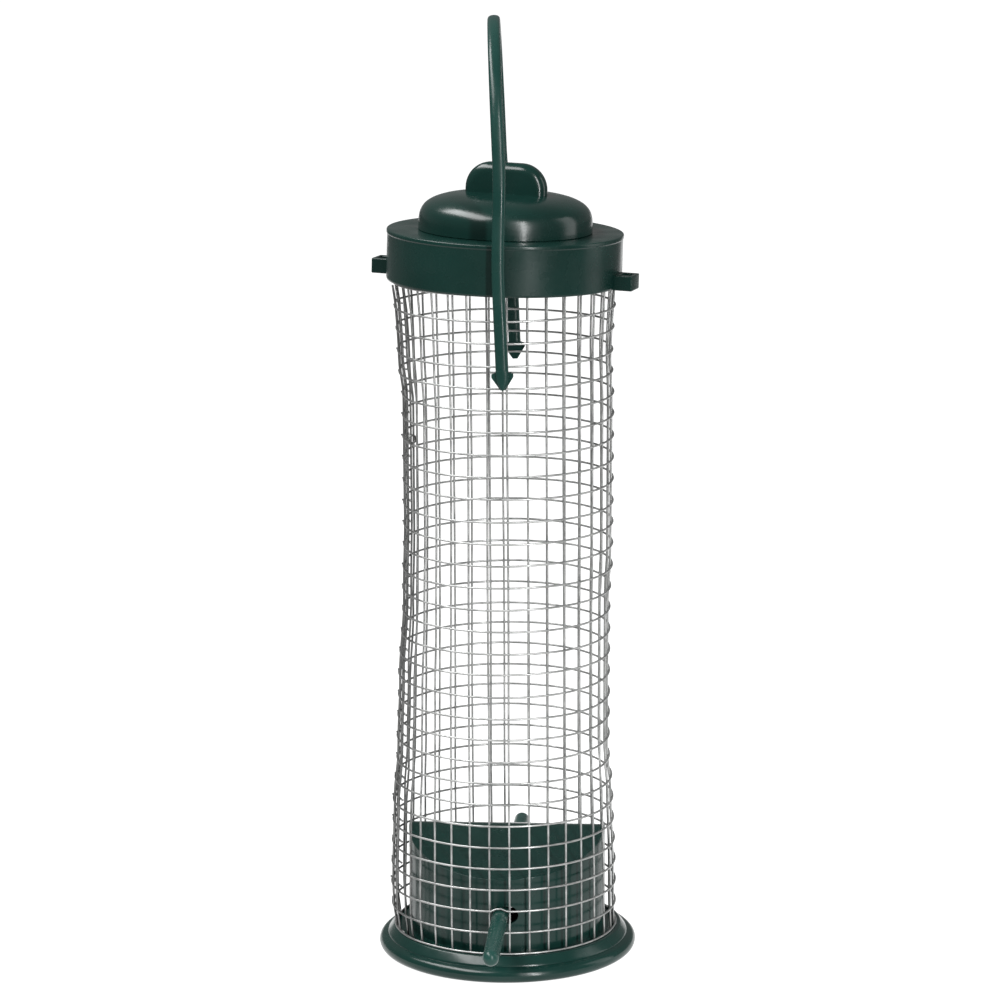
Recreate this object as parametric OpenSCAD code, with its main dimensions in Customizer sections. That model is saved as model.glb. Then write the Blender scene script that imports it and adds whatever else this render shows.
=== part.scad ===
// Hanging mesh nut feeder: a welded wire tube between a moulded base and a moulded collar,
// with a lift-off lid, a through perch and a loop handle.
// Millimetres, +Z up. The origin is the middle of the base's underside and the perch lies along Y.

/* [Mesh tube] */
// Radius of the tube, to the middle of the hoop wires
mesh_r = 32.2; // [28:0.1:40]
// Thickness of the mesh wire
wire_d = 0.62; // [0.5:0.02:0.8]
// Height from one hoop to the next, a quarter-inch mesh
hoop_pitch = 6.35; // [6.2:0.05:7]
// Number of hoops from the base up into the collar
hoop_count = 32; // [20:1:40]
// Angle from one upright wire to the next
upright_step = 10.4; // [10.3:0.05:10.6]
// Direction of the seam, where the mesh sheet overlaps itself
seam_turn = -165; // [-175:1:-155]

/* [Base] */
// Largest radius of the base rim, beyond the mesh
rim_overhang = 5.7; // [4:0.1:9]
// Height of the ledge that the mesh stands on
ledge_z = 7; // [6:0.1:10]
// Wall thickness of the mouldings
wall = 1.6; // [1.2:0.1:2]
// Gap between the cup and the mesh hoops' middle
cup_gap = 3.3; // [2.8:0.1:5]
// Height of the ridge of the seed deflector
ridge_z = 36.9; // [34:0.1:44]
// Height of the cup wall at the front and back
eave_z = 28.3; // [25:0.1:31]

/* [Perch] */
// Thickness of the perch rod
perch_d = 4.75; // [3.9:0.05:5.8]
// Length of the perch rod over its round ends
perch_len = 139; // [100:1:180]
// Height of the perch rod
perch_z = 18; // [17.9:0.05:18.1]
// Width of the slot that the perch passes through, from the perch's one side to beyond its other
perch_slot_w = 7.7; // [6.2:0.1:12]

/* [Collar] */
// Height of the collar
collar_h = 14.5; // [12:0.1:20]
// Height of the collar's top above the mesh
collar_over = 5.4; // [4:0.1:7]
// Thickness of the collar wall outside the mesh
collar_wall = 0.9; // [0.9:0.05:2]
// How far the top lip stands out beyond the wall
lip_out = 0.2; // [0.1:0.1:0.6]
// Turn of the two lugs away from the X axis
collar_turn = -14; // [-30:1:30]
// Tilt of the collar and lid, which sit on the mesh a little askew
collar_tilt = 1.8; // [0:0.1:2]
// Width of a lug
lug_w = 7.8; // [7:0.1:12]
// Height of a lug
lug_h = 4.3; // [3:0.1:7]
// Thickness of a lug wall outside its slot
lug_wall = 1; // [0.8:0.1:2]

/* [Lid] */
// Radius of the dome
dome_r = 24.9; // [21:0.1:30.8]
// Height of the dome
dome_h = 10.8; // [9:0.1:15]
// Width of the finger tab
tab_w = 24.1; // [16:0.1:26]
// Thickness of the finger tab
tab_t = 6; // [4:0.1:8]
// Height of the finger tab above the dome
tab_h = 8.6; // [5:0.1:12]
// Depth of the lid's skirt inside the collar
skirt_depth = 10; // [6:0.1:12]

/* [Handle] */
// Width of the handle bar, across the loop
bar_w = 3.6; // [3:0.1:3.9]
// Thickness of the handle bar, in the plane of the loop
bar_t = 2.8; // [2.3:0.1:3.4]
// Height of the handle's top above the collar
handle_rise = 61; // [50:0.1:90]
// Depth of the handle's arrow points below the collar
handle_drop = 26.9; // [12:0.1:45]
// Turn of the handle away from the perch
handle_turn = 2.4; // [-30:0.1:30]
// Lean of the handle to one side
handle_lean = 2.3; // [0:0.1:3]
// Tip of the handle towards the back, which hangs its rear arrow lower than the front one
handle_tip = 2.4; // [0:0.1:2.5]
// Width of the arrow heads
arrow_w = 6.1; // [5:0.1:7]
// Height of the arrow heads
arrow_h = 5; // [4:0.1:7]

/* [Hidden] */
$fn = 64;
// Clearance round the perch in its slot, and between the perch and the upright wires beside it
perch_clear = 0.3;
perch_wire_gap = 0.12;
// Clearance between sliding mouldings
slide_clear = 0.3;
// Depth that two crossing wires sink into each other where they are welded
weld = 0.1;
// How far the finger tab and the barbs root into the wall that carries them
tab_root = 1.4;
barb_root = 0.3;

// Mesh tube
upright_r = mesh_r - wire_d + weld;
hoop_z0 = ledge_z + wire_d / 2 + 0.05;
upright_count = floor(360 / upright_step) + 1;
upright_first = -90 - upright_step * 6.5;
upright_top = hoop_z0 + (hoop_count - 1) * hoop_pitch + 3.5;
lap_r = mesh_r + wire_d - weld;
lap_half = upright_step;
perch_hoop = ceil((perch_z - hoop_z0) / hoop_pitch);

// Base
cup_r = mesh_r - cup_gap;
rim_round = 2.1;
rim_r = mesh_r + rim_overhang;
crease_r = rim_r - rim_round;
slot_h = perch_d + perch_clear;

// Collar
collar_top = upright_top + collar_over;
collar_z = collar_top - collar_h;
collar_in = mesh_r + wire_d / 2 + 0.35;
collar_r = collar_in + collar_wall;
neck_r = dome_r - 1.2;
neck_z = collar_top - skirt_depth - 1;
barb_depth = 0.8;
barb_hoop_z = hoop_z0 + (hoop_count - 1) * hoop_pitch;
tilt_z = collar_z + lug_h / 2;

// Handle
handle_top = collar_top + handle_rise;
tip_z = collar_z - handle_drop;
handle_r = collar_r + lip_out + 1.15 + bar_t / 2;
arch_z = handle_top - bar_t / 2 - handle_r;
leg_foot = tip_z + arrow_h;
lean_z = collar_top - collar_h / 2;
lug_slot_w = bar_w + 0.6;
lug_slot_t = bar_t + 0.4;
lug_r = handle_r + lug_slot_t / 2 + lug_wall;

// Lid
skirt_r = neck_r - slide_clear;
skirt_t = 1.4;
tab_corner = 7.5;
tab_edge = 2.6;

plastic_green = [0.06, 0.19, 0.16];
zinc = [0.68, 0.69, 0.68];

// Turn of upright i. One that would cross the perch, at the front or the back, stands beside it.
function upright_turn(i) =
    let (turn = upright_first + i * upright_step,
         side = sin(turn) < 0 ? -90 : 90,
         off = (turn - side + 540) % 360 - 180,
         room = asin((perch_d / 2 + perch_wire_gap + wire_d / 2) / upright_r))
    abs(off) < room ? side + (off < 0 ? -room : room) : turn;

// A rim point on the rounded edge of the base, at angle a
function rim_point(a) = [crease_r + rim_round * cos(a), rim_round + rim_round * sin(a)];

// Height of the dome's outside above its foot at radius r, a flattened superellipse
function dome_rise(r, top_r, height) =
    height * pow(1 - pow(min(r / top_r, 1), 3.4), 1 / 3.4);

// Outline of a dome from its foot to its axis
function dome_outline(top_r, height, steps) =
    [for (i = [0 : steps]) let (r = top_r * cos(90 * i / steps))
        [r, dome_rise(r, top_r, height)]];

// The section of a bent wire, an octagon as wide as the wire
module wire_section() {
    circle(d = wire_d, $fn = 8);
}

// A hoop or part of one, lying flat, with its wire's middle at radius r
module wire_hoop(r, z, from = 0, sweep = 360) {
    translate([0, 0, z])
        rotate([0, 0, from])
            rotate_extrude(angle = sweep)
                translate([r, 0]) wire_section();
}

// A ring with a square section, between two radii and two heights
module tube(r_in, r_out, z_low, z_high) {
    translate([0, 0, z_low])
        difference() {
            cylinder(r = r_out, h = z_high - z_low);
            translate([0, 0, -1]) cylinder(r = r_in, h = z_high - z_low + 2);
        }
}

// Everything under the two roof slopes of the deflector, lowered by drop
module under_roof(drop = 0) {
    span = rim_r + 5;
    fall = (ridge_z - eave_z) / cup_r * span;
    rotate([90, 0, 90])
        linear_extrude(height = 2 * span, center = true)
            polygon([[-span, -1], [span, -1], [span, ridge_z - fall - drop],
                     [0, ridge_z - drop], [-span, ridge_z - fall - drop]]);
}

// The hollow base rim, with a rounded edge and a raised ledge for the mesh
module base_tray() {
    color(plastic_green)
        rotate_extrude()
            polygon(concat(
                [[cup_r, ledge_z - wall], [mesh_r - 0.2, ledge_z - wall],
                 [crease_r - wall, rim_round + 0.6], [crease_r - 1.1, 0]],
                [for (a = [-90 : 16 : 86]) rim_point(a)],
                [[crease_r, 2 * rim_round], [mesh_r + 1.2, ledge_z], [cup_r, ledge_z]]));
}

// The upright wall of the base, cut off along the roof slopes, with a slot for the perch
module base_cup() {
    color(plastic_green)
        difference() {
            intersection() {
                tube(cup_r - wall, cup_r, ledge_z - wall, ridge_z + 1);
                under_roof();
            }
            for (turn = [0, 180])
                rotate([0, 0, turn])
                    translate([0, 0, perch_z])
                        rotate([90, 0, 0]) {
                            translate([0, -slot_h / 2, 0])
                                cube([perch_slot_w - slot_h, slot_h, 2 * cup_r]);
                            for (x = [0, perch_slot_w - slot_h])
                                translate([x, 0, 0]) cylinder(d = slot_h, h = 2 * cup_r);
                        }
        }
}

// The roof inside the wall, which sheds seed towards the front and back
module seed_deflector() {
    color(plastic_green)
        intersection() {
            cylinder(r = cup_r - wall, h = ridge_z + 1);
            difference() {
                under_roof();
                under_roof(wall);
            }
        }
}

// The perch, a round rod with domed ends
module perch_rod() {
    straight = perch_len - perch_d;
    color(plastic_green)
        translate([0, 0, perch_z])
            rotate([90, 0, 0]) {
                cylinder(d = perch_d, h = straight, center = true);
                for (end = [-1, 1])
                    translate([0, 0, end * straight / 2]) sphere(d = perch_d);
            }
}

// The upright wires, welded inside the hoops
module mesh_uprights() {
    color(zinc)
        for (i = [0 : upright_count - 1])
            rotate([0, 0, upright_turn(i)])
                translate([upright_r, 0, hoop_z0 - wire_d / 2])
                    cylinder(d = wire_d, h = upright_top - hoop_z0 + wire_d / 2, $fn = 16);
}

// The hoops. The one that meets the perch is bowed over it at the front and back.
module mesh_hoops() {
    bow_r = perch_d / 2 + perch_clear + wire_d / 2;
    bow_rise = hoop_z0 + perch_hoop * hoop_pitch - perch_z;
    bow_from = asin(bow_rise / bow_r);
    bow_half = bow_r * cos(bow_from);
    bow_turn = asin(bow_half / mesh_r);
    bend_d = 1.15 * wire_d;
    color(zinc)
        for (i = [0 : hoop_count - 1])
            let (z = hoop_z0 + i * hoop_pitch)
                if (i == perch_hoop)
                    for (side = [0, 180]) {
                        wire_hoop(mesh_r, z, side - 90 + bow_turn, 180 - 2 * bow_turn);
                        rotate([0, 0, side])
                            translate([0, -mesh_r * cos(bow_turn), perch_z]) {
                                rotate([90, 0, 0])
                                    rotate([0, 0, bow_from])
                                        rotate_extrude(angle = 180 - 2 * bow_from)
                                            translate([bow_r, 0]) wire_section();
                                for (end = [-1, 1])
                                    translate([end * bow_half, 0, bow_rise]) sphere(d = bend_d);
                            }
                    }
                else
                    wire_hoop(mesh_r, z);
}

// The outer flap of the seam: hoop ends that run on past the first upright, below the collar
module mesh_lap() {
    top = floor((collar_z - hoop_z0 - wire_d) / hoop_pitch);
    color(zinc) {
        for (i = [0 : top])
            wire_hoop(lap_r, hoop_z0 + i * hoop_pitch, seam_turn - lap_half, 2 * lap_half);
        rotate([0, 0, seam_turn + lap_half / 2])
            translate([lap_r + wire_d - weld, 0, hoop_z0 - wire_d / 2])
                cylinder(d = wire_d, h = top * hoop_pitch + wire_d, $fn = 16);
    }
}

// The wire ring that closes the seam, round a hoop of each layer
module seam_ring() {
    ring_r = 1.5 * wire_d + 0.05;
    ring_hoop = 23;
    color(zinc)
        rotate([0, 0, seam_turn + 1.2 * lap_half])
            translate([(mesh_r + lap_r) / 2, 0, hoop_z0 + ring_hoop * hoop_pitch])
                rotate([90, 0, 0])
                    rotate_extrude() translate([ring_r, 0]) wire_section();
}

// Puts its children at the collar's own tilt, about the Y axis at the lugs' height
module collar_place() {
    translate([0, 0, tilt_z])
        rotate([0, collar_tilt, 0])
            translate([0, 0, -tilt_z])
                children();
}

// The collar's outer wall and its flat top, with a small lip
module collar_ring() {
    lip_h = 1.3;
    color(plastic_green)
        collar_place()
            rotate_extrude()
                polygon([[collar_in, collar_z], [collar_r - 0.2, collar_z],
                         [collar_r, collar_z + 0.3], [collar_r, collar_top - lip_h],
                         [collar_r + lip_out, collar_top - lip_h + 0.3],
                         [collar_r + lip_out, collar_top - 0.3],
                         [collar_r + lip_out - 0.3, collar_top],
                         [neck_r, collar_top], [neck_r, collar_top - wall],
                         [collar_in, collar_top - wall]]);
}

// The inner neck of the collar, which the lid's skirt slides into
module collar_neck() {
    color(plastic_green)
        collar_place()
            tube(neck_r, neck_r + 1.2, neck_z, collar_top - wall);
}

// The two slotted lugs that the handle's arrow ends snap through for hanging
module collar_lugs() {
    color(plastic_green)
        collar_place()
            for (side = [0, 180])
                rotate([0, 0, collar_turn + side])
                    difference() {
                        translate([0, -lug_w / 2, collar_z])
                            cube([lug_r, lug_w, lug_h]);
                        translate([0, 0, collar_z - 1])
                            cylinder(r = collar_r, h = lug_h + 2);
                        translate([handle_r - lug_slot_t / 2, -lug_slot_w / 2, collar_z - 1])
                            cube([lug_slot_t, lug_slot_w, lug_h + 2]);
                    }
}

// Small wedges inside the collar that hook under the top hoop and hold the mesh
module mesh_barbs() {
    barb_top = barb_hoop_z - wire_d / 2 - 0.05;
    barb_w = 3;
    barb_at = [0.5, 6.5, 12.5, 17.5, 23.5, 29.5];
    color(plastic_green)
        for (k = barb_at)
            rotate([0, 0, upright_first + k * upright_step])
                translate([0, barb_w / 2, 0])
                    rotate([90, 0, 0])
                        linear_extrude(height = barb_w)
                            polygon([[collar_in - barb_depth, barb_top],
                                     [collar_in + barb_root, barb_top],
                                     [collar_in + barb_root, barb_top - 3]]);
}

// The lid's hollow dome
module lid_dome() {
    inner_r = skirt_r - skirt_t;
    color(plastic_green)
        collar_place()
            translate([0, 0, collar_top])
                rotate_extrude()
                    difference() {
                        polygon(concat([[0, 0], [dome_r, 0]],
                            [for (p = dome_outline(dome_r, dome_h - 1, 15)) [p[0], p[1] + 1]]));
                        polygon(concat([[-1, -1], [inner_r, -1]],
                            dome_outline(inner_r, dome_h - wall, 12),
                            [[-1, dome_h - wall]]));
                    }
}

// The finger tab on the dome, a plate with rounded corners and softened edges
module lid_tab() {
    tab_top = collar_top + dome_h + tab_h;
    tab_foot = collar_top + dome_h - tab_root;
    corner_z = tab_top - tab_corner;
    color(plastic_green)
        collar_place()
            rotate([0, 0, collar_turn])
                hull() {
                    for (side = [-1, 1])
                        translate([side * (tab_w / 2 - tab_corner), 0, corner_z])
                            rotate([90, 0, 0])
                                rotate_extrude($fn = 48)
                                    polygon(concat([[0, -tab_t / 2]],
                                        [for (a = [-90 : 18 : 90])
                                            [tab_corner - tab_edge + tab_edge * cos(a),
                                             sign(a) * (tab_t / 2 - tab_edge) + tab_edge * sin(a)]],
                                        [[0, tab_t / 2]]));
                    translate([-tab_w / 2 + 0.5, -tab_t / 2, tab_foot])
                        cube([tab_w - 1, tab_t, corner_z - tab_foot - 0.5]);
                }
}

// The lid's skirt, a sliding fit in the collar's neck
module lid_skirt() {
    color(plastic_green)
        collar_place()
            tube(skirt_r - skirt_t, skirt_r, collar_top - skirt_depth, collar_top);
}

// The section of the handle bar, rounded on both sides
module bar_section() {
    flat = bar_w - bar_t;
    square([bar_t, flat], center = true);
    for (side = [-1, 1])
        translate([0, side * flat / 2]) circle(d = bar_t, $fn = 32);
}

// Puts its children in the handle's own place: turned from the perch, leaning and tipped
module handle_place() {
    rotate([0, 0, handle_turn])
        translate([0, 0, lean_z])
            rotate([-handle_tip, -handle_lean, 0])
                translate([0, 0, -lean_z])
                    children();
}

// The round top of the handle
module handle_arch() {
    color(plastic_green)
        handle_place()
            translate([0, 0, arch_z])
                rotate([90, 0, 90])
                    rotate_extrude(angle = 180, $fn = 96)
                        translate([handle_r, 0]) bar_section();
}

// One straight leg, at the front or at the back
module handle_leg(side) {
    color(plastic_green)
        handle_place()
            translate([0, side * handle_r, leg_foot])
                rotate([0, 0, 90])
                    linear_extrude(height = arch_z - leg_foot)
                        bar_section();
}

module handle_front_leg() {
    handle_leg(-1);
}

module handle_rear_leg() {
    handle_leg(1);
}

// The two arrow heads that spring open below a lug
module handle_arrows() {
    color(plastic_green)
        handle_place()
            for (side = [-1, 1])
                translate([0, side * handle_r + bar_t / 2, tip_z])
                    rotate([90, 0, 0])
                        linear_extrude(height = bar_t)
                            polygon([[-0.7, 0], [0.7, 0], [arrow_w / 2, arrow_h * 0.72],
                                     [arrow_w / 2, arrow_h * 0.9], [bar_w / 2, arrow_h],
                                     [-bar_w / 2, arrow_h], [-arrow_w / 2, arrow_h * 0.9],
                                     [-arrow_w / 2, arrow_h * 0.72]]);
}

base_tray();
base_cup();
seed_deflector();
perch_rod();
mesh_uprights();
mesh_hoops();
mesh_lap();
seam_ring();
collar_ring();
collar_neck();
collar_lugs();
mesh_barbs();
lid_dome();
lid_tab();
lid_skirt();
handle_arch();
handle_front_leg();
handle_rear_leg();
handle_arrows();
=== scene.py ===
# %% [markdown]
# # A hanging nut feeder in wire mesh and moulded plastic
# The feeder is a rolled sheet of welded wire that stands on a moulded tray. Inside its foot a cup with a
# gable roof sheds the nuts to the front and back, and a perch runs through both. A collar caps the mesh,
# a lid sits in the collar, and a loop handle straddles it. The frame gives every place and size that
# moves or fits, so we read those first and build the visible skin of each piece around them.

import math
import random

import bmesh
import bpy
from mathutils import Matrix, Vector


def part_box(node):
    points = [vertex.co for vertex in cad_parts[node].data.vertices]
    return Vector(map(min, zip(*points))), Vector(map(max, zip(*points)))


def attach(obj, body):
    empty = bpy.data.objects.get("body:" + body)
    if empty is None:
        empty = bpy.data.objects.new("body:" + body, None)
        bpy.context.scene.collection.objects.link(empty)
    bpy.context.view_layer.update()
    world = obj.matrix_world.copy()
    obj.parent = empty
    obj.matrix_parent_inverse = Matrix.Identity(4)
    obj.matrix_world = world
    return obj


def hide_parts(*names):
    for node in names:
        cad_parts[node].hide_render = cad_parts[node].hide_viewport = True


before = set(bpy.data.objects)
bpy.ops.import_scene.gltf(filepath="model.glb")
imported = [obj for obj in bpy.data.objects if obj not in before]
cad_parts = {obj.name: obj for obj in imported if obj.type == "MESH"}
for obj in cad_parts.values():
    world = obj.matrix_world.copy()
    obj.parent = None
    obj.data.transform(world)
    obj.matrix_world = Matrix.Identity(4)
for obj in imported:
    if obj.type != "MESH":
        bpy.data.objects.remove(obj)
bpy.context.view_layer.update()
mm = 0.001

# %% Read the sizes that the pieces share
rim_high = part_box("base_tray")[1]
cup_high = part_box("base_cup")[1]
perch_low, perch_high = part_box("perch_rod")
hoop_low, hoop_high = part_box("mesh_hoops")
upright_low, upright_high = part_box("mesh_uprights")

wire_d = 0.62 * mm
hoop_count = 32
mesh_r = hoop_high.x - wire_d / 2
hoop_first_z = hoop_low.z + wire_d / 2
hoop_pitch = (hoop_high.z - wire_d - hoop_low.z) / (hoop_count - 1)
print("mesh radius", round(mesh_r, 5), "hoop pitch", round(hoop_pitch, 5))

# %% [markdown]
# The collar is not square on the mesh: it was pushed on a little askew, and the lid sits askew with it.
# So the collar and the lid are built upright first, and one matrix then tips them to their seat.

# %% Find the collar's seat
collar_over_mesh = 5.4 * mm
collar_h = 14.5 * mm
lug_h = 4.3 * mm
seat_tilt = math.radians(1.8)
collar_top = upright_high.z + collar_over_mesh
collar_z = collar_top - collar_h
seat_z = collar_z + lug_h / 2
seat = (Matrix.Translation((0, 0, seat_z)) @ Matrix.Rotation(seat_tilt, 4, "Y")
        @ Matrix.Translation((0, 0, -seat_z)))
print("collar from", round(collar_z, 4), "to", round(collar_top, 4))

# %% [markdown]
# ## The camera
# We set the camera first, because it decides how big each detail shows. A long lens from about a metre
# away keeps the tube's sides parallel. The camera looks a little down, so the hoops read as thin ellipses.

# %% Place the camera
camera_distance = 1.040
camera_height = 0.3483
camera_azimuth = math.radians(4.1)
camera_pitch = math.radians(11.63)
camera_roll = math.radians(0.3)
camera_sideways = -1.4 * mm

camera_data = bpy.data.cameras.new("feeder_camera")
camera_data.sensor_width = 36
camera_data.lens = 131.7
camera = bpy.data.objects.new("feeder_camera", camera_data)
bpy.context.scene.collection.objects.link(camera)
aim = (Matrix.Rotation(camera_azimuth, 4, "Z") @ Matrix.Rotation(math.pi / 2 - camera_pitch, 4, "X")
       @ Matrix.Rotation(-camera_roll, 4, "Z"))
right = aim.to_3x3() @ Vector((1, 0, 0))
camera.matrix_world = Matrix.Translation(
    Vector((camera_distance * math.sin(camera_azimuth), -camera_distance * math.cos(camera_azimuth),
            camera_height)) + right * camera_sideways) @ aim
bpy.context.scene.camera = camera
print("camera at", [round(c, 3) for c in camera.matrix_world.translation])

# %% [markdown]
# ## Helpers for turned and drawn shapes
# Most mouldings here are round, so they are outlines spun about the tube's axis. A real moulding has no
# sharp edge, so one helper rounds the corners of an outline with arcs before it is spun.

# %% Round the corners of an outline
def rounded(points, radii, steps=5):
    """Points of a closed outline with each corner cut by an arc of its own radius."""
    out = []
    count = len(points)
    for i, radius in enumerate(radii):
        here = Vector(points[i])
        before = Vector(points[i - 1]) - here
        after = Vector(points[(i + 1) % count]) - here
        if radius <= 0:
            out.append(tuple(here))
            continue
        half = before.angle(after) / 2
        reach = min(radius / math.tan(half), before.length * 0.49, after.length * 0.49)
        start = here + before.normalized() * reach
        end = here + after.normalized() * reach
        for k in range(steps + 1):
            t = k / steps
            out.append(tuple((1 - t) ** 2 * start + 2 * t * (1 - t) * here + t ** 2 * end))
    return out


print("square with round corners has", len(rounded([(0, 0), (1, 0), (1, 1), (0, 1)], [0.1] * 4)), "points")

# %% Turn points and faces into a smooth object
def build(name, points, faces, crease=35):
    mesh = bpy.data.meshes.new(name)
    mesh.from_pydata([tuple(p) for p in points], [], faces)
    shape = bmesh.new()
    shape.from_mesh(mesh)
    bmesh.ops.remove_doubles(shape, verts=shape.verts, dist=1e-7)
    bmesh.ops.recalc_face_normals(shape, faces=shape.faces)
    shape.to_mesh(mesh)
    shape.free()
    mesh.shade_smooth()
    mesh.set_sharp_from_angle(angle=math.radians(crease))
    piece = bpy.data.objects.new(name, mesh)
    bpy.context.scene.collection.objects.link(piece)
    return piece


def finish_piece(piece, material, body, slot, *nodes):
    """Gives a piece its material and its body, and hides the nodes it stands for. Its slot is not used."""
    piece.data.materials.clear()
    piece.data.materials.append(material)
    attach(piece, body)
    if nodes:
        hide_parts(*nodes)
    print(piece.name, len(piece.data.vertices), "points on", body)


print("helpers ready")

# %% Spin an outline about the axis
def turned(name, outline, steps=224):
    """A lathe: outline is (radius, height) pairs, all the way round the section."""
    points = []
    faces = []
    count = len(outline)
    for i in range(steps):
        angle = math.tau * i / steps
        points += [(r * math.cos(angle), r * math.sin(angle), z) for r, z in outline]
    for i in range(steps):
        a, b = i * count, ((i + 1) % steps) * count
        for k in range(count):
            n = (k + 1) % count
            faces.append((a + k, b + k, b + n, a + n))
    return build(name, points, faces)


print("lathe ready")

# %% Draw round wires along paths
def wires(name, paths, radius, sides=8):
    """One mesh of round wires with domed ends. Each path is (points, closed)."""
    points = []
    faces = []
    for path, closed in paths:
        count = len(path)
        first = len(points)
        normal = None
        for i, p in enumerate(path):
            ahead = path[(i + 1) % count] if closed or i < count - 1 else p
            behind = path[i - 1] if closed or i > 0 else p
            tangent = (ahead - behind).normalized()
            if normal is None:
                normal = tangent.orthogonal()
            normal = (normal - tangent * normal.dot(tangent)).normalized()
            side = tangent.cross(normal)
            points += [p + radius * (math.cos(math.tau * k / sides) * normal
                                     + math.sin(math.tau * k / sides) * side) for k in range(sides)]
        for i in range(count if closed else count - 1):
            a, b = first + i * sides, first + ((i + 1) % count) * sides
            for k in range(sides):
                n = (k + 1) % sides
                faces.append((a + k, a + n, b + n, b + k))
        if not closed:
            for end, base, out in ((path[0], first, path[0] - path[1]),
                                   (path[-1], first + (count - 1) * sides, path[-1] - path[-2])):
                points.append(end + out.normalized() * radius * 0.6)
                faces += [(base + k, base + (k + 1) % sides, len(points) - 1) for k in range(sides)]
    return build(name, points, faces, 60)


print("wire helper ready")

# %% [markdown]
# ## The finishes
# Garden plastics are dyed through, so colour varies very little. What the eye reads is the gloss: a
# slightly rippled skin, patches where handling has dulled it, and soft reflections. So the plastic is one
# dark bottle green with noise in its tint, its roughness and its surface.

# %% Make the helpers for noise
def noise_node(tree, position, scale, detail=3.0):
    texture = tree.nodes.new("ShaderNodeTexNoise")
    texture.inputs["Scale"].default_value = scale
    texture.inputs["Detail"].default_value = detail
    tree.links.new(position, texture.inputs["Vector"])
    return texture.outputs["Fac"]


def spread(tree, value, low, high, from_low=0.35, from_high=0.65):
    """Stretches a noise value between two numbers."""
    ranged = tree.nodes.new("ShaderNodeMapRange")
    ranged.inputs["From Min"].default_value = from_low
    ranged.inputs["From Max"].default_value = from_high
    ranged.inputs["To Min"].default_value = low
    ranged.inputs["To Max"].default_value = high
    tree.links.new(value, ranged.inputs["Value"])
    return ranged.outputs["Result"]


def tint(tree, value, dark, light):
    ramp = tree.nodes.new("ShaderNodeValToRGB")
    ramp.color_ramp.elements[0].position = 0.3
    ramp.color_ramp.elements[1].position = 0.7
    ramp.color_ramp.elements[0].color = (*dark, 1)
    ramp.color_ramp.elements[1].color = (*light, 1)
    tree.links.new(value, ramp.inputs["Fac"])
    return ramp.outputs["Color"]


def bumped(tree, height, strength, depth, under=None):
    """Raises the surface by a noise. under is a bump that this one adds to."""
    bump = tree.nodes.new("ShaderNodeBump")
    bump.inputs["Strength"].default_value = strength
    bump.inputs["Distance"].default_value = depth
    tree.links.new(height, bump.inputs["Height"])
    if under:
        tree.links.new(under, bump.inputs["Normal"])
    return bump.outputs["Normal"]


print("noise, spread, tint and bump helpers ready")

# %% [markdown]
# Each moulding gets its own tone of the green and its own gloss. The tray, collar and lid are deepest,
# and the thin handle and perch look a little lighter. A fine ripple lies on a slower wave of the skin.

# %% Mix the bottle green plastic
def moulded_green(name, dark, light, gloss_low, gloss_high, ripple, shine=0.22):
    material = bpy.data.materials.new(name)
    material.use_nodes = True
    tree = material.node_tree
    shader = tree.nodes["Principled BSDF"]
    position = tree.nodes.new("ShaderNodeTexCoord").outputs["Object"]
    tree.links.new(tint(tree, noise_node(tree, position, 45), dark, light), shader.inputs["Base Color"])
    tree.links.new(spread(tree, noise_node(tree, position, 130, 5), gloss_low, gloss_high),
                   shader.inputs["Roughness"])
    skin = bumped(tree, noise_node(tree, position, 650, 2), ripple, 0.1 * mm)
    wave = bumped(tree, noise_node(tree, position, 90, 1), ripple, 0.6 * mm, skin)
    tree.links.new(wave, shader.inputs["Normal"])
    shader.inputs["Specular IOR Level"].default_value = shine
    return material


deep_green = (0.0022, 0.0150, 0.0120)
rim_green = (0.0032, 0.0185, 0.0150)
bright_green = (0.0038, 0.0215, 0.0175)
leaf_green = (0.0055, 0.0260, 0.0215)
light_green = (0.0085, 0.0360, 0.0300)
pale_green = (0.0130, 0.0480, 0.0400)
tray_green = moulded_green("tray_green", rim_green, leaf_green, 0.16, 0.28, 0.10, 0.27)
collar_green = moulded_green("collar_green", deep_green, bright_green, 0.20, 0.32, 0.10, 0.26)
lid_green = moulded_green("lid_green", deep_green, bright_green, 0.18, 0.28, 0.07, 0.32)
handle_green = moulded_green("handle_green", leaf_green, light_green, 0.20, 0.34, 0.10)
perch_green = moulded_green("perch_green", light_green, pale_green, 0.22, 0.34, 0.10)
print("plastics", [m.name for m in (tray_green, collar_green, lid_green, handle_green, perch_green)])

# %% [markdown]
# Galvanised wire is steel in a thin coat of zinc. It is metal, but dull: the zinc dries in small patches
# that differ in tone and roughness, with a few rough beads, so the noise here is finer and stronger.
# Along the seam, on the -X side, the wire's colour is made darker, down to about half its tone.

# %% Coat the wire in zinc
# Between these two places the wire's colour goes from about half its tone, on the seam side, to full.
seam_side_x = -28 * mm
full_tone_x = -21 * mm
seam_tone = 0.48


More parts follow.
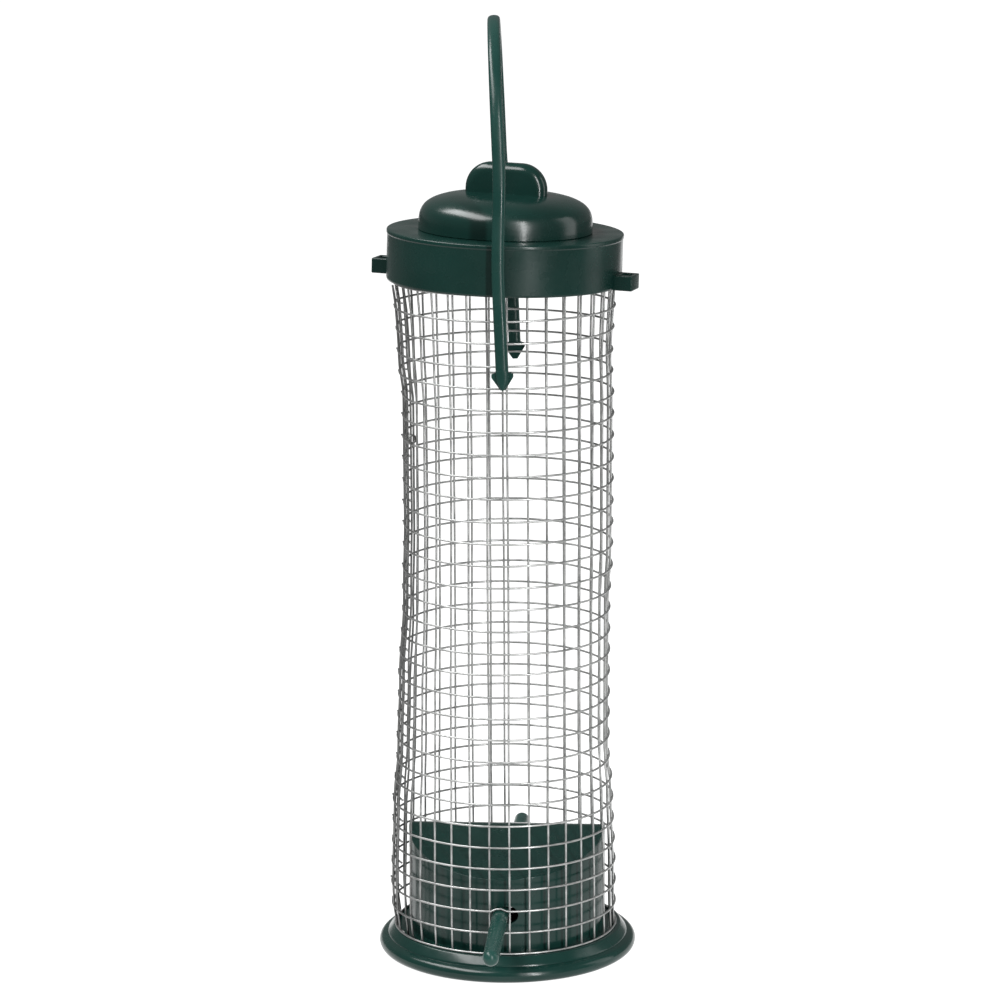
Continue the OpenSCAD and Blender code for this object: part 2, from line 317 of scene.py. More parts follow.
def zinc(name, dark, light):
    material = bpy.data.materials.new(name)
    material.use_nodes = True
    tree = material.node_tree
    shader = tree.nodes["Principled BSDF"]
    position = tree.nodes.new("ShaderNodeTexCoord").outputs["Object"]
    across = tree.nodes.new("ShaderNodeSeparateXYZ")
    tree.links.new(position, across.inputs["Vector"])
    # The wire's colour is scaled down to about half on the -X side by the seam, and comes back to full over
    # 7 mm.
    seam_side_darkening = spread(tree, across.outputs["X"], seam_tone, 1.0, seam_side_x, full_tone_x)
    coat = tree.nodes.new("ShaderNodeVectorMath")
    coat.operation = "SCALE"
    tree.links.new(tint(tree, noise_node(tree, position, 240, 4), dark, light), coat.inputs[0])
    tree.links.new(seam_side_darkening, coat.inputs["Scale"])
    tree.links.new(coat.outputs["Vector"], shader.inputs["Base Color"])
    tree.links.new(spread(tree, noise_node(tree, position, 420, 4), 0.32, 0.55), shader.inputs["Roughness"])
    beads = bumped(tree, noise_node(tree, position, 1800, 3), 0.35, 0.08 * mm)
    tree.links.new(beads, shader.inputs["Normal"])
    shader.inputs["Metallic"].default_value = 0.9
    return material


mesh_zinc = zinc("mesh_zinc", (0.23, 0.234, 0.23), (0.46, 0.465, 0.46))
ring_zinc = zinc("ring_zinc", (0.13, 0.133, 0.13), (0.26, 0.265, 0.26))
print("wires", mesh_zinc.name, ring_zinc.name)

# %% [markdown]
# ## The base
# The tray is a thin shell: a bullnose rim, a crease, then a slope up to the ledge where the mesh stands.
# Its underside is open, so the outline goes round the wall's thickness and leaves the hollow empty.

# %% Spin the tray
wall = 1.6 * mm
rim_round = 2.1 * mm
crease_r = rim_high.x - rim_round
ledge_z = rim_high.z
cup_r = cup_high.x
rim_arc = [(crease_r + rim_round * math.cos(a), rim_round + rim_round * math.sin(a))
           for a in (math.radians(degrees) for degrees in range(-90, 84, 8))]
tray_outline = (
    rounded([(cup_r, ledge_z - wall), (mesh_r - 0.2 * mm, ledge_z - wall),
             (crease_r - wall, rim_round + 0.6 * mm), (crease_r - 1.1 * mm, 0)],
            [0, 0.6 * mm, 0.6 * mm, 0])
    + rim_arc
    + rounded([(crease_r, 2 * rim_round), (mesh_r + 1.2 * mm, ledge_z), (cup_r, ledge_z)],
              [0.25 * mm, 0.7 * mm, 0], 4)
)
tray = turned("base_tray_shell", tray_outline)
finish_piece(tray, tray_green, "feeder", "base_plastic", "base_tray")

# %% [markdown]
# The cup's wall is cut off along the two roof slopes, so its top edge rises to the left and right. We
# write the wall as rings whose heights follow the roof, then cut the perch slot with a boolean, which
# is exact and leaves a clean edge all round the slot.

# %% Raise the cup wall to the roof
ridge_z = cup_high.z
eave_z = 28.3 * mm
slope = (ridge_z - eave_z) / cup_r
ridge_soft = 1.2 * mm


def roof_z(y, drop=0.0):
    """Height of the roof at y, with the ridge softened to a small radius."""
    return ridge_z - drop - slope * (math.hypot(y, ridge_soft) - ridge_soft)


def cup_wall_rows(angle):
    """One strip of the wall's section at an angle: outside up, over the rounded lip, inside down."""
    inner = cup_r - wall
    top = roof_z(cup_r * math.sin(angle))
    low = ledge_z - wall
    lip = 0.2 * mm
    levels = [low + (top - lip - low) * k / 8 for k in range(9)]
    rows = [(cup_r, z) for z in levels]
    rows += [(cup_r - lip * (1 - math.cos(t)), top - lip + lip * math.sin(t))
             for t in (math.pi / 8 * k for k in range(1, 5))]
    rows += [(inner, roof_z(inner * math.sin(angle)))] + [(inner, z) for z in reversed(levels[:-1])]
    return rows


cup_steps = 240
cup_points = []
cup_faces = []
for i in range(cup_steps):
    angle = math.tau * i / cup_steps
    strip = cup_wall_rows(angle)
    cup_points += [(r * math.cos(angle), r * math.sin(angle), z) for r, z in strip]
rows = len(strip)
for i in range(cup_steps):
    a, b = i * rows, ((i + 1) % cup_steps) * rows
    cup_faces += [(a + k, b + k, b + (k + 1) % rows, a + (k + 1) % rows) for k in range(rows)]
cup = build("base_cup_wall", cup_points, cup_faces)
print("cup wall rows", rows)

# %% Cut the perch slot through the cup
perch_z = (perch_low.z + perch_high.z) / 2
perch_r = (perch_high.z - perch_low.z) / 2
slot_w = 7.7 * mm
slot_r = perch_r + 0.15 * mm


def slot_cutter(name, near, far):
    """Two round-ended bars, one through the front wall and one, turned half round, through the back."""
    half_round = [math.pi * k / 16 for k in range(17)]
    ring = [(centre + slot_r * math.sin(start + a), -slot_r * math.cos(start + a))
            for centre, start in ((slot_w - 2 * slot_r, 0), (0, math.pi)) for a in half_round]
    count = len(ring)
    points = []
    faces = []
    for turn in (1, -1):
        first = len(points)
        points += [(turn * x, turn * y, perch_z + z) for y in (near, far) for x, z in ring]
        faces += [tuple(first + n for n in (k, (k + 1) % count, count + (k + 1) % count, count + k))
                  for k in range(count)]
        faces += [tuple(range(first, first + count)), tuple(range(first + count, first + 2 * count))]
    return build(name, points, faces)


cutter = slot_cutter("slot_cutter", -0.5 * cup_r, -1.5 * cup_r)
cut = cup.modifiers.new("perch_slot", "BOOLEAN")
cut.operation = "DIFFERENCE"
cut.object = cutter
cut.solver = "EXACT"
bpy.context.view_layer.update()
cut_mesh = bpy.data.meshes.new_from_object(cup.evaluated_get(bpy.context.evaluated_depsgraph_get()))
cup.modifiers.clear()
cup.data = cut_mesh
cup.data.set_sharp_from_angle(angle=math.radians(35))
bpy.data.objects.remove(cutter)
finish_piece(cup, tray_green, "feeder", "base_plastic", "base_cup")

# %% [markdown]
# The deflector is the roof itself. A polar grid follows the round wall exactly, and each point takes its
# height from the same roof function as the wall, so the two always meet.

# %% Lay the seed deflector
roof_rings = 14
roof_steps = 160


def roof_sheet(drop):
    """Points of the roof, or of its underside: the middle, then ring after ring."""
    radius = cup_r - wall
    points = [(0, 0, roof_z(0, drop))]
    for j in range(1, roof_rings + 1):
        for i in range(roof_steps):
            angle = math.tau * i / roof_steps
            x, y = radius * j / roof_rings * math.cos(angle), radius * j / roof_rings * math.sin(angle)
            points.append((x, y, roof_z(y, drop)))
    return points


def ring_band(a, b):
    """Faces between two rings of the roof that start at points a and b."""
    return [(a + i, b + i, b + (i + 1) % roof_steps, a + (i + 1) % roof_steps) for i in range(roof_steps)]


def roof_faces(first):
    faces = [(first, first + 1 + i, first + 1 + (i + 1) % roof_steps) for i in range(roof_steps)]
    for j in range(roof_rings - 1):
        faces += ring_band(first + 1 + j * roof_steps, first + 1 + (j + 1) * roof_steps)
    return faces


roof_top = roof_sheet(0.0)
roof_under = roof_sheet(wall)
roof_edge = ring_band(len(roof_top) - roof_steps, 2 * len(roof_top) - roof_steps)
deflector = build("seed_deflector_roof", roof_top + roof_under,
                  roof_faces(0) + roof_faces(len(roof_top)) + roof_edge)
finish_piece(deflector, tray_green, "feeder", "base_plastic", "seed_deflector")

# %% [markdown]
# ## The perch
# The perch is a moulded rod with domed ends. Its mould leaves a faint seam along both sides, which we
# build as two low ridges in the section, so the rod catches light like a moulding and not a drawn bar.

# %% Mould the perch rod
perch_stations = 72
perch_sides = 48
dome_share = 0.12
seam_rise = 0.05 * mm


def perch_section(t):
    """Where a section lies along the rod, and its radius. A share of the sections goes to each dome."""
    if t < dome_share:
        a = math.pi / 2 * t / dome_share
        return perch_low.y + perch_r * (1 - math.cos(a)), perch_r * math.sin(a)
    if t > 1 - dome_share:
        a = math.pi / 2 * (1 - t) / dome_share
        return perch_high.y - perch_r * (1 - math.cos(a)), perch_r * math.sin(a)
    straight = perch_high.y - perch_low.y - 2 * perch_r
    return perch_low.y + perch_r + straight * (t - dome_share) / (1 - 2 * dome_share), perch_r


def perch_points():
    out = []
    for i in range(perch_stations + 1):
        y, r = perch_section(i / perch_stations)
        for k in range(perch_sides):
            around = math.tau * k / perch_sides
            seam = seam_rise * math.exp(-(math.sin(around) / 0.09) ** 2) * min(1, r / perch_r)
            reach = max(r - seam_rise, 0.01 * mm) + seam
            out.append((reach * math.cos(around), y, perch_z + reach * math.sin(around)))
    return out


def skin_rows(row_count, sides):
    """Faces of a closed skin over rows of points, with a flat cap on each end."""
    faces = []
    for i in range(row_count - 1):
        a, b = i * sides, (i + 1) * sides
        faces += [(a + k, a + (k + 1) % sides, b + (k + 1) % sides, b + k) for k in range(sides)]
    faces += [tuple(range(sides)), tuple(reversed(range((row_count - 1) * sides, row_count * sides)))]
    return faces


perch = build("perch_moulded_rod", perch_points(), skin_rows(perch_stations + 1, perch_sides), 60)
finish_piece(perch, perch_green, "perch", "perch_plastic", "perch_rod")

# %% [markdown]
# ## The wire mesh
# The mesh starts as a flat welded sheet, rolled by hand and closed with one ring, so it is never a
# perfect cylinder. One function gives the tube's radius everywhere: a long dent where the seam was
# pinched, a shallower one across from it, and a slow out-of-round. Each dent is a list of heights and
# depths in millimetres. Every wire follows that function, so hoops and uprights stay welded together.

# %% Shape the rolled sheet
seam_end = -154.0
lap_angle = 25.0
left_dent = [(9, -1.1), (18, -1.4), (45, -0.8), (60, 0.4), (81, 1.2),
             (105, 2.8), (130, 3.5), (165, 3.6), (176, 2.4), (198, 1.1)]
left_turn, left_width = 191, 48
right_dent = [(22, 0.3), (48, 0.9), (60, 1.9), (105, 1.9), (118, 1.2), (165, 1.1), (176, 1.5), (198, 0.3)]
right_turn, right_width = 4, 42
wobble = random.Random(7)
hoop_phase = [wobble.uniform(0, math.tau) for _ in range(hoop_count)]
hoop_lift = [wobble.gauss(0, 0.10) * mm for _ in range(hoop_count)]


def angle_gap(a, b):
    """The turn from b to a in degrees, at most half a turn either way."""
    return (a - b + 180) % 360 - 180


def free_span(z):
    """0 where the base or the collar holds the mesh round, 1 in between."""
    return max(0.0, min(1.0, (z - 30 * mm) / (25 * mm), (collar_z - z) / (20 * mm)))


def depth_at(dent, z):
    """The depth of a dent at a height, eased from one (height, depth) in millimetres to the next."""
    z = max(dent[0][0], min(dent[-1][0], z / mm))
    for (z0, d0), (z1, d1) in zip(dent, dent[1:]):
        if z <= z1:
            t = (z - z0) / (z1 - z0)
            return (d0 + (d1 - d0) * t * t * (3 - 2 * t)) * mm
    return dent[-1][1] * mm


def sheet_r(angle, z):
    """Radius of the sheet, to the middle of its hoops, at an angle in degrees and a height."""
    ends = max(0.0, min(1.0, (z - 3 * mm) / (10 * mm), (collar_z + 2 * mm - z) / (8 * mm)))
    left = depth_at(left_dent, z) * math.exp(-(angle_gap(angle, left_turn) / left_width) ** 2)
    right = depth_at(right_dent, z) * math.exp(-(angle_gap(angle, right_turn) / right_width) ** 2)
    oval = 0.25 * mm * math.sin(math.radians(2 * angle + 40) + z * 21) * free_span(z)
    return mesh_r - (left + right) * ends - oval


def on_sheet(angle, z, lift=0.0):
    """A point of the sheet, or one lifted outwards from it."""
    a = math.radians(angle)
    r = sheet_r(angle, z) + lift
    return Vector((r * math.cos(a), r * math.sin(a), z))


print("radius half way up", [round(sheet_r(a, 0.1), 5) for a in (0, 90, 180, 270)])

# %% [markdown]
# A hoop wire starts under the seam, runs once round, and climbs over its own start to finish on the
# outside, where its cut end stands off a little. The two layers do not meet level: the start sits higher,
# most of all in its first 30 degrees. The hoop that meets the perch is bowed up over it.

# %% Bend the hoops
hoop_steps = 150
weld = 0.1 * mm
climb_from, climb_over = 332, 22
start_rise, start_fade, slow_rise = 1.9, 30, 0.5
hidden_lift = 1.1 * mm
perch_hoop = math.ceil((perch_z - hoop_first_z) / hoop_pitch)
bow_r = perch_r + 0.3 * mm + wire_d / 2


def over_perch(angle, z):
    """Height of the hoop at the perch, raised where it would touch the rod."""
    off = min(abs(angle_gap(angle, 90)), abs(angle_gap(angle, -90)))
    side = mesh_r * math.sin(math.radians(off))
    return max(z, perch_z + math.sqrt(bow_r ** 2 - side ** 2)) if side < bow_r else z


def loose_end(path, seed):
    """Two more points past the end of a hoop, its cut end springing outwards."""
    loose = random.Random(seed)
    tail = (path[-1] - path[-2]).normalized()
    outward = Vector((path[-1].x, path[-1].y, 0)).normalized()
    stub = loose.uniform(0.4, 0.9) * mm
    lift = loose.uniform(0.3, 0.7)
    bend = path[-1] + (tail + outward * lift * 0.5) * stub * 0.5
    return [bend, bend + (tail + outward * lift) * stub * 0.6]


def hoop_path(index):
    """A hoop with its lap. The last ones are inside the collar, where they lie level and have no lap."""
    z0 = hoop_first_z + index * hoop_pitch
    in_collar = z0 > collar_z - 2 * wire_d
    turn = 360.0 if in_collar else 360.0 + lap_angle
    path = []
    for i in range(hoop_steps + 1):
        t = turn * i / hoop_steps
        angle = seam_end - t
        climb = 0.0 if in_collar else max(0.0, min(1.0, (t - climb_from) / climb_over))
        climb = climb * climb * (3 - 2 * climb)
        skew = (start_rise * math.exp(-(t / start_fade) ** 2) + slow_rise * (1 - t / 360)) * mm
        skew *= max(0.0, min(1.0, (z0 - 12 * mm) / (12 * mm)))
        wave = 0.09 * mm * math.sin(math.radians(3 * angle) + hoop_phase[index])
        z = z0 + (hoop_lift[index] + wave) * free_span(z0) + (hidden_lift if in_collar else skew)
        if index == perch_hoop:
            z = over_perch(angle, z)
        path.append(on_sheet(angle, z, climb * (wire_d - weld)))
    return path if in_collar else path + loose_end(path, index)


hoops = wires("mesh_hoop_wires", [(hoop_path(i), False) for i in range(hoop_count)], wire_d / 2, 8)
finish_piece(hoops, mesh_zinc, "feeder", "mesh_wire", "mesh_hoops")

# %% [markdown]
# The upright wires are welded inside the hoops at an even step. Only the four next to the seam were
# pulled aside when it was closed. Each upright wanders by a fraction of a millimetre between welds.

# %% Weld in the uprights
upright_step = 10.4
upright_first = -90 - upright_step * 6.5
upright_count = 35
# The uprights beside the seam, by number, and the turn each was pulled to.
pulled = {0: -151, 1: -145.5, upright_count - 2: -180, upright_count - 1: -167}


def upright_turn(index):
    """Direction of an upright. One that would cross the perch stands close beside it instead."""
    turn = pulled.get(index, upright_first + index * upright_step)
    side = -90 if math.sin(math.radians(turn)) < 0 else 90
    off = angle_gap(turn, side)
    room = math.degrees(math.asin((perch_r + 0.12 * mm + wire_d / 2) / (mesh_r - wire_d + weld)))
    return side + math.copysign(room, off) if abs(off) < room else turn


def upright_path(angle, low, high, lift, seed):
    """A wire up the sheet from low to high, lifted outwards or, below 0, inwards from the hoops."""
    steps = 64
    sway = random.Random(seed)
    phase, size = sway.uniform(0, math.tau), sway.uniform(0.05, 0.22)
    path = []
    for i in range(steps + 1):
        z = low + (high - low) * i / steps
        lean = size * math.sin(z * 55 + phase) * free_span(z)
        path.append(on_sheet(angle + lean, z, lift))
    return path


upright_paths = [(upright_path(upright_turn(i), upright_low.z, upright_high.z,
                               weld - wire_d, 100 + i), False) for i in range(upright_count)]
uprights = wires("mesh_upright_wires", upright_paths, wire_d / 2, 8)
finish_piece(uprights, mesh_zinc, "feeder", "mesh_wire", "mesh_uprights")

# %% [markdown]
# Where the sheet laps over itself, the outer flap brings three uprights of its own. They lie outside the
# first layer, and with the hoops' ends they make the narrow ladder that marks the seam.

# %% Add the flap's uprights
flap_top = collar_z - 1.5 * mm
flap_lift = 0.35 * mm
flap_angles = [seam_end - lap_angle, seam_end - 12.5, seam_end - 4]
flap = wires("mesh_flap_wires",
             [(upright_path(a, upright_low.z, flap_top, flap_lift, 300 + k), False)
              for k, a in enumerate(flap_angles)], wire_d / 2, 8)
finish_piece(flap, mesh_zinc, "feeder", "mesh_wire", "mesh_lap")

# %% [markdown]
# One small ring of wire, nipped round both layers, keeps the sheet rolled. It makes a full turn, and its
# two ends pass each other sideways, as a closed split ring does.

# %% Close the seam with one ring
ring_hoop = 23
ring_r = 1.1 * mm
ring_points = 35
ring_turn = seam_end + 5
ring_centre = on_sheet(ring_turn, hoop_first_z + ring_hoop * hoop_pitch + 1.6 * mm, 0.3 * mm)
out = Vector((math.cos(math.radians(ring_turn)), math.sin(math.radians(ring_turn)), 0))
along = Vector((-out.y, out.x, 0))
ring_path = []
for k in range(ring_points):
    a = math.radians(12 + k * 10.6)
    around = math.cos(a) * out * 1.05 + math.sin(a) * Vector((0, 0, 1))
    ring_path.append(ring_centre + ring_r * around + along * 0.35 * mm * (k / (ring_points - 1) - 0.5))
ring = wires("seam_closing_ring", [(ring_path, False)], wire_d / 2, 10)
finish_piece(ring, ring_zinc, "feeder", "ring_wire", "seam_ring")

# %% [markdown]
# ## The collar
# The collar is one moulding: a wall with a little draft, a lip where the mould closes, and a flat top.
# We spin its outline with small fillets, which is what gives a moulding its bright edge lines.

# %% Spin the collar
collar_in = mesh_r + wire_d / 2 + 0.35 * mm
collar_r = collar_in + 0.9 * mm
lip_r = collar_r + 0.2 * mm
dome_r = 24.9 * mm
neck_r = dome_r - 1.2 * mm
collar_wall = turned("collar_moulding", rounded(
    [(collar_in, collar_z), (collar_r - 0.2 * mm, collar_z), (collar_r, collar_z + 0.6 * mm),
     (collar_r, collar_top - 1.35 * mm), (lip_r, collar_top - 1.0 * mm), (lip_r, collar_top),
     (neck_r, collar_top), (neck_r, collar_top - wall), (collar_in, collar_top - wall)],
    [0.2 * mm, 0.2 * mm, 0.2 * mm, 0.12 * mm, 0.2 * mm, 0.55 * mm, 0.3 * mm, 0.2 * mm, 0.4 * mm], 4))
collar_wall.data.transform(seat)
finish_piece(collar_wall, collar_green, "feeder", "collar_plastic", "collar_ring")

# %% [markdown]
# Each lug is a small block with a square slot for an arrow end of the handle. It is built as two outlines,
# the block's and the slot's, joined by flat faces, so the slot is a real hole. A bevel rounds its edges.

# %% Build the two slotted lugs
leg_low, leg_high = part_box("handle_rear_leg")
handle_r = math.hypot((leg_low.x + leg_high.x) / 2, (leg_low.y + leg_high.y) / 2)
collar_turn = math.radians(-14)
lug_out = 39.11 * mm
lug_half_w = 3.9 * mm
slot_half = (1.6 * mm, 2.1 * mm)


def corner_loop(x_low, x_high, y_half, radius):
    """An oblong with round corners, as seen from above."""
    corners = [(x_low, -y_half), (x_high, -y_half), (x_high, y_half), (x_low, y_half)]
    return rounded(corners, [radius] * 4, 4)


def soften(piece, width, segments, angle):
    """Rounds the edges of a piece that turn by more than an angle in degrees."""
    edge = piece.modifiers.new("soft_edges", "BEVEL")
    edge.width = width
    edge.segments = segments
    edge.angle_limit = math.radians(angle)


def lug(name, turn):
    outer = corner_loop(collar_r - 0.6 * mm, lug_out, lug_half_w, 0.5 * mm)
    inner = corner_loop(handle_r - slot_half[0], handle_r + slot_half[0], slot_half[1], 0.3 * mm)
    count = len(outer)
    low, high = collar_z, collar_z + lug_h
    points = []
    for loop, z in ((outer, low), (outer, high), (inner, high), (inner, low)):
        points += [Matrix.Rotation(turn, 3, "Z") @ Vector((x, y, z)) for x, y in loop]
    faces = []
    for band in range(4):
        a, b = band * count, (band + 1) % 4 * count
        faces += [(a + k, a + (k + 1) % count, b + (k + 1) % count, b + k) for k in range(count)]
    piece = build(name, points, faces)
    piece.data.transform(seat)
    soften(piece, 0.28 * mm, 3, 50)
    return piece


for label, turn in (("right", collar_turn), ("left", collar_turn + math.pi)):
    finish_piece(lug(f"collar_lug_{label}", turn), collar_green, "feeder", "collar_plastic", "collar_lugs")

# %% [markdown]
# ## The lid
# The dome rises almost straight from its foot, rounds over, and flattens on top. A superellipse draws
# that in one formula, which leaves no break for the highlight to trip on.

# %% Spin the dome
dome_h = 10.8 * mm
dome_in = neck_r - 1.7 * mm
dome_power = 3.4


def dome_curve(top_r, height, steps):
    """A superellipse from the foot of the dome to its middle."""
    return [(top_r * math.cos(a), height * (1 - math.cos(a) ** dome_power) ** (1 / dome_power))
            for a in (math.pi / 2 * k / steps for k in range(steps + 1))]


foot = 1.0 * mm
outside = [(r, collar_top + foot + z) for r, z in dome_curve(dome_r, dome_h - foot, 30)]
inside = [(r, collar_top + z) for r, z in dome_curve(dome_in, dome_h - wall, 20)]
dome_outline = [(dome_r - 0.2 * mm, collar_top), (dome_r, collar_top + 0.2 * mm)] + outside
dome_outline += list(reversed(inside))
dome = turned("lid_dome_shell", dome_outline)
dome.data.transform(seat)
finish_piece(dome, lid_green, "lid", "lid_plastic", "lid_dome")

# %% [markdown]
# The finger tab is a plate with round shoulders and a soft edge. Rings of the same outline, drawn in as
# they near each face, give the soft edge a true round section all the way along.

# %% Shape the finger tab
tab_half_w = 12.05 * mm
tab_top = collar_top + dome_h + 8.6 * mm
tab_foot = collar_top + dome_h - 1.4 * mm
tab_half_t = 3.0 * mm
tab_corner = 7.5 * mm
tab_edge = 2.6 * mm
tab_steps = 8


def tab_loop(inset, y):
    """The tab's outline at a depth y, drawn in by an inset."""
    centre_x, centre_z = tab_half_w - tab_corner, tab_top - tab_corner
    radius = tab_corner - inset
    loop = [(-tab_half_w + inset, tab_foot)]
    for side, start in ((-1, math.pi), (1, math.pi / 2)):
        loop += [(side * centre_x + radius * math.cos(start - a), centre_z + radius * math.sin(start - a))
                 for a in (math.pi / 2 * k / 12 for k in range(13))]
    loop.append((tab_half_w - inset, tab_foot))
    return [Matrix.Rotation(collar_turn, 3, "Z") @ Vector((x, y, z)) for x, z in loop]


def tab_rings(side):
    """The loops of one soft edge, from the flat of the tab out to its face, on side -1 or 1."""
    loops = []
    for k in range(tab_steps + 1):
        a = math.pi / 2 * k / tab_steps
        loops.append(tab_loop(tab_edge * (1 - math.cos(a)),
                              side * (tab_half_t - tab_edge + tab_edge * math.sin(a))))
    return loops


tab_loops = list(reversed(tab_rings(-1))) + tab_rings(1)
tab_points = [p for loop in tab_loops for p in loop]
tab = build("lid_finger_tab", tab_points, skin_rows(len(tab_loops), len(tab_loops[0])), 50)
tab.data.transform(seat)
finish_piece(tab, lid_green, "lid", "lid_plastic", "lid_tab")

# %% [markdown]
# ## The handle
# The handle is one springy moulding. In its own plane it is a half circle on two straight legs, and its
# bar is wider than it is thick. Its seat is turned from the perch, leans to one side, and tips back, so
# the rear arrow hangs lower than the front one.

# %% Find the handle's place
lean_z = collar_top - 7.25 * mm
handle_turn, handle_lean, handle_tip = (math.radians(degrees) for degrees in (2.4, -2.3, -2.4))
handle_seat = (Matrix.Rotation(handle_turn, 4, "Z") @ Matrix.Translation((0, 0, lean_z))
               @ Matrix.Rotation(handle_lean, 4, "Y") @ Matrix.Rotation(handle_tip, 4, "X")
               @ Matrix.Translation((0, 0, -lean_z)))
handle_half = 36.51 * mm
bar_half_w = 1.8 * mm
bar_half_t = 1.4 * mm
arrow_h = 5.0 * mm
tip_z = collar_z - 26.9 * mm
leg_foot = tip_z + arrow_h
arch_z = collar_top + 61 * mm - bar_half_t - handle_half
print("legs from", round(leg_foot, 4), "to", round(arch_z, 4))

# %% Sweep the bar along the loop
twist_from, twist_over = 200 * mm, 35 * mm
leg_twist, arch_twist = -1.2, 1.3
bar_power = 0.8


def in_handle(side, height, sideways=0.0):
    """A place on the handle. Its legs are gripped by the collar, so the loop twists a little above it."""
    rise = max(0.0, min(1.0, (height - twist_from) / twist_over))
    twist = math.radians(leg_twist + (arch_twist - leg_twist) * rise * rise * (3 - 2 * rise))
    c, s = math.cos(twist), math.sin(twist)
    return handle_seat @ Vector((sideways * c - side * s, side * c + sideways * s, height))


def bar_ring(side, height, out_side, out_height, wide=1.0, thick=1.0, shift=0.0, sides=32):
    """A ring of the bar's section; out is the direction away from the loop's middle."""
    ring = []
    for k in range(sides):
        a = math.tau * k / sides
        c, s = math.cos(a), math.sin(a)
        reach = bar_half_t * thick * math.copysign(abs(c) ** bar_power, c) + shift
        ring.append(in_handle(side + out_side * reach, height + out_height * reach,
                              bar_half_w * wide * math.copysign(abs(s) ** bar_power, s)))
    return ring


bar_rings = []
leg_steps = 24
arch_steps = 72
for i in range(leg_steps):
    height = leg_foot + (arch_z - leg_foot) * i / leg_steps
    bar_rings.append(bar_ring(-handle_half, height, -1, 0))
for i in range(arch_steps + 1):
    a = math.pi * (1 - i / arch_steps)
    bar_rings.append(bar_ring(handle_half * math.cos(a), arch_z + handle_half * math.sin(a),
                              math.cos(a), math.sin(a)))
for i in range(leg_steps):
    height = arch_z + (leg_foot - arch_z) * (i + 1) / leg_steps
    bar_rings.append(bar_ring(handle_half, height, 1, 0))
bar = build("handle_bar", [p for ring in bar_rings for p in ring], skin_rows(len(bar_rings), 32), 60)
finish_piece(bar, handle_green, "handle", "handle_plastic", "handle_arch", "handle_front_leg",
             "handle_rear_leg")

# %% [markdown]
# Each leg ends in an arrow head that springs open below a lug. The leg itself runs on down its outer side
# to a rounded point, and two thin wings stand out behind it, which are what hooks under the lug.

# %% Form the arrow heads
point_shares = (1.1, 0.9, 0.75, 0.6, 0.45, 0.32, 0.2, 0.11, 0.05, 0.015, 0.0)
point_sides = 24
point_least = 0.12
point_shift = 0.55 * mm
wing_sections = [(0.0, 0.7 * mm), (0.72, 3.05 * mm), (0.9, 3.05 * mm), (1.0, 1.8 * mm)]
wing_back, wing_front = -1.35 * mm, 0.1 * mm


def leg_point(side):
    """Rings of the leg's rounded point, from above the head down to its tip."""
    rings = []
    for share in point_shares:
        full = min(share, 1)
        wide = max((1 - (1 - full) ** 2.2) ** 0.6, point_least)
        rings.append(bar_ring(side * handle_half, tip_z + share * arrow_h, side, 0, wide,
                              0.5 + 0.1 * full, point_shift, point_sides))
    return rings


def arrow_head(name, side):
    points = [p for ring in leg_point(side) for p in ring]
    faces = skin_rows(len(point_shares), point_sides)
    first = len(points)
    for share, half_w in wing_sections:
        for x, depth in ((-1, wing_back), (1, wing_back), (1, wing_front), (-1, wing_front)):
            points.append(in_handle(side * (handle_half + depth), tip_z + share * arrow_h, x * half_w))
    faces += [tuple(first + k for k in face) for face in skin_rows(len(wing_sections), 4)]
    piece = build(name, points, faces, 50)
    soften(piece, 0.25 * mm, 3, 30)
    return piece


for label, side in (("front", -1), ("rear", 1)):
    finish_piece(arrow_head(f"handle_arrow_{label}", side), handle_green, "handle", "handle_plastic",
                 "handle_arrows")

# %% [markdown]
# ## The hidden mouldings
# The collar's neck, its barbs and the lid's skirt show only when the lid is lifted or from below. Their
# CAD shapes are right, so they keep their meshes and get the plastic and a fine bevel.

# %% Finish the hidden mouldings
hidden_mouldings = {"collar_neck": collar_green, "mesh_barbs": collar_green, "lid_skirt": lid_green}
for node, material in hidden_mouldings.items():
    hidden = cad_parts[node]
    hidden.data.materials.clear()
    hidden.data.materials.append(material)
    soften(hidden, 0.12 * mm, 2, 50)
    print(node, "keeps its CAD shape")

# %% [markdown]
# ## The floor and the light
# The object stands on a glowing white strip that widens far back behind it, on a grey table. So the
# background is pure white, while the plastics mirror the dim room at the front and sides, which keeps
# them deep and lets the soft boxes draw clear highlights. Under the tray, a dark disc is painted shade.

# %% Lay the table and the white strip
table_z = -0.6 * mm
strip_z = -0.3 * mm
shade_r = 34 * mm


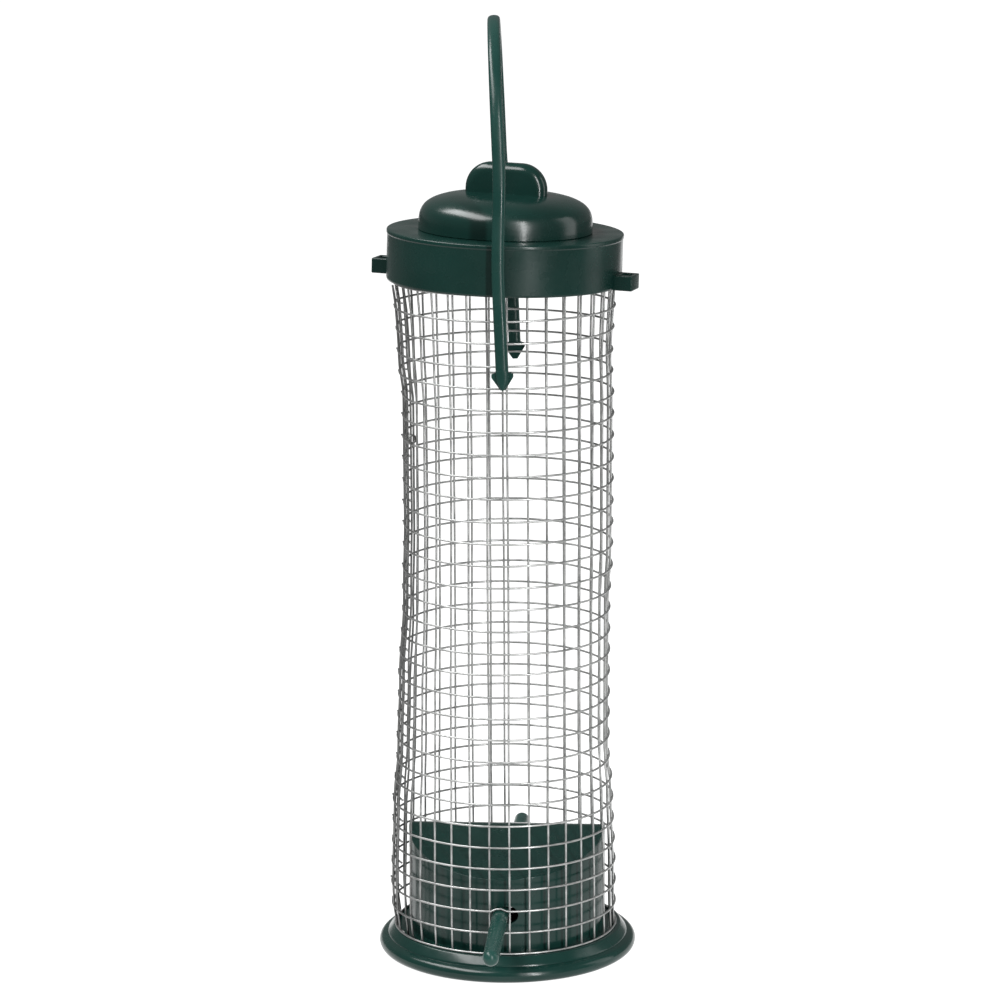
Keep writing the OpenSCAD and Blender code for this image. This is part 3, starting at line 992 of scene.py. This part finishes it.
def sheet(name, corners, height, grey, glow):
    """A flat sheet on the floor, of one grey, that may glow white."""
    piece = build(name, [(x, y, height) for x, y in corners], [tuple(range(len(corners)))])
    material = bpy.data.materials.new(name)
    material.use_nodes = True
    shader = material.node_tree.nodes["Principled BSDF"]
    shader.inputs["Base Color"].default_value = (grey, grey, grey, 1)
    shader.inputs["Roughness"].default_value = 0.9
    shader.inputs["Emission Color"].default_value = (1, 1, 1, 1)
    shader.inputs["Emission Strength"].default_value = glow
    piece.data.materials.append(material)


sheet("table", [(-14, -14), (14, -14), (14, 30), (-14, 30)], table_z, 0.3, 0)
sheet("white_strip", [(-0.24, -0.25), (0.24, -0.25), (0.42, 0.9), (9, 30), (-9, 30), (-0.42, 0.9)],
      strip_z, 0.2, 1.0)
# A near-black disc under the tray, laid on the strip as painted shade where the strip would glow.
sheet("tray_shade", [(shade_r * math.cos(a), shade_r * math.sin(a))
                     for a in (math.tau * k / 48 for k in range(48))], 0, 0.02, 0)
print("table laid")

# %% [markdown]
# Three soft boxes light it. The large one above and to the left draws the highlights on the dome and the
# rim, a tall narrow one at the front right adds thin streaks, and a weak one at the right fills in.

# %% Hang the soft boxes
middle = (0, 0, 0.14)


def soft_box(name, place, width, height, power):
    """A rectangular lamp that faces the middle of the feeder."""
    data = bpy.data.lights.new(name, "AREA")
    data.shape = "RECTANGLE"
    data.size = width
    data.size_y = height
    data.energy = power
    light = bpy.data.objects.new(name, data)
    light.location = place
    light.rotation_euler = (Vector(middle) - Vector(place)).to_track_quat("-Z", "Y").to_euler()
    bpy.context.scene.collection.objects.link(light)


soft_box("top_box", (-0.55, -0.15, 1.10), 1.3, 0.40, 24)
soft_box("front_right_box", (0.56, -1.05, 0.55), 0.08, 1.0, 16)
soft_box("right_box", (1.0, 0.15, 0.4), 0.4, 0.9, 2.5)
world = bpy.data.worlds.new("studio")
world.use_nodes = True
world.node_tree.nodes["Background"].inputs["Color"].default_value = (1, 1, 1, 1)
world.node_tree.nodes["Background"].inputs["Strength"].default_value = 0.22
bpy.context.scene.world = world
bpy.context.scene.view_settings.view_transform = "Standard"
